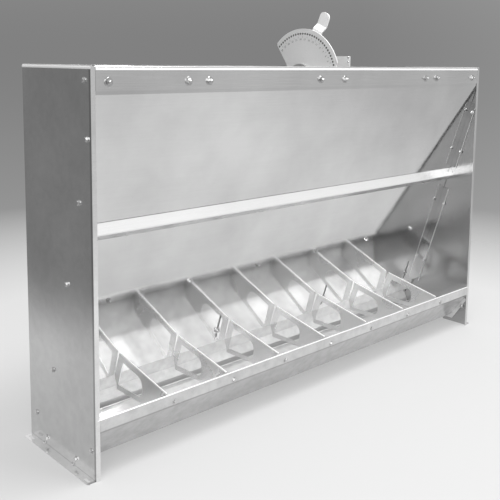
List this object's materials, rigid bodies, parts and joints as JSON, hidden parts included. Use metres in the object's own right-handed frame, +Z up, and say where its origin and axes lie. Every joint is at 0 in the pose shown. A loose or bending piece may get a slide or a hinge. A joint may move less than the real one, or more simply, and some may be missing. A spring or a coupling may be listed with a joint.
{
  "type": "gravity hopper feeder",
  "caption": "Single-sided steel hopper feeder: open-topped hopper, sloping front sheet, sliding feed gate worked by a lever on a gauge, and a divided trough.",
  "frame": {"origin": "on the floor, at the middle of the footprint", "axes": "+X along the trough, to the right seen from the trough side; +Y from the trough side to the back; +Z up"},
  "size_m": [1.568, 0.3092, 1.0681],
  "materials": {
    "sheet_steel": "bare stainless sheet, smooth cold-rolled mill finish",
    "plate_steel": "bare stainless plate and bar",
    "fastener_steel": "bare stainless hexagon fasteners"
  },
  "bodies": {
    "frame": {"back_panel": "sheet_steel", "corner_bracket_left": "plate_steel", "corner_bracket_right": "plate_steel", "cross_brace_left": "plate_steel", "cross_brace_right": "plate_steel", "divider_1": "sheet_steel", "divider_2": "sheet_steel", "divider_3": "sheet_steel", "divider_4": "sheet_steel", "divider_5": "sheet_steel", "divider_6": "sheet_steel", "divider_7": "sheet_steel", "divider_bolt_1": "fastener_steel", "divider_bolt_2": "fastener_steel", "divider_bolt_3": "fastener_steel", "divider_bolt_4": "fastener_steel", "divider_bolt_5": "fastener_steel", "divider_bolt_6": "fastener_steel", "divider_bolt_7": "fastener_steel", "front_rail": "sheet_steel", "front_sheet": "sheet_steel", "gauge_bracket": "plate_steel", "gauge_sector": "sheet_steel", "header_bolt_1": "fastener_steel", "header_bolt_2": "fastener_steel", "header_bolt_3": "fastener_steel", "header_bolt_4": "fastener_steel", "header_bolt_5": "fastener_steel", "header_bolt_6": "fastener_steel", "header_bolt_7": "fastener_steel", "header_bolt_8": "fastener_steel", "header_rail": "sheet_steel", "left_end_panel": "sheet_steel", "pivot_bearing": "plate_steel", "right_end_panel": "sheet_steel", "sector_spacer_1": "fastener_steel", "sector_spacer_2": "fastener_steel", "shaft_bearing_left": "plate_steel", "shaft_bearing_right": "plate_steel", "sheet_stiffener": "sheet_steel", "trough_pan": "sheet_steel"},
    "lever_shaft": {"adjusting_lever": "sheet_steel", "rock_shaft": "plate_steel", "lift_arm_left": "plate_steel", "lift_arm_right": "plate_steel", "yoke_pin_left": "fastener_steel", "yoke_pin_right": "fastener_steel"},
    "gate": {"feed_gate": "sheet_steel", "lift_rod_left": "plate_steel", "lift_rod_right": "plate_steel", "rod_bolt_left": "fastener_steel", "rod_bolt_right": "fastener_steel", "gate_bolt_1": "fastener_steel", "gate_bolt_2": "fastener_steel", "gate_bolt_3": "fastener_steel", "gate_bolt_4": "fastener_steel"}
  },
  "joints": [
    {"name": "lever_turn", "type": "hinge", "parent": "frame", "child": "lever_shaft", "pos_m": [0, 0.00475, 0.878], "axis": [1, 0, 0], "range_deg": [-66, 45.4]},
    {"name": "gate_slide", "type": "slide", "parent": "frame", "child": "gate", "axis": [0, -0.2961, 0.9552], "range_m": [-0.0223, 0.0323]}
  ],
  "couplings": [
    {"joint": "gate_slide", "follows": "lever_turn", "m_per_rad": -0.028}
  ]
}
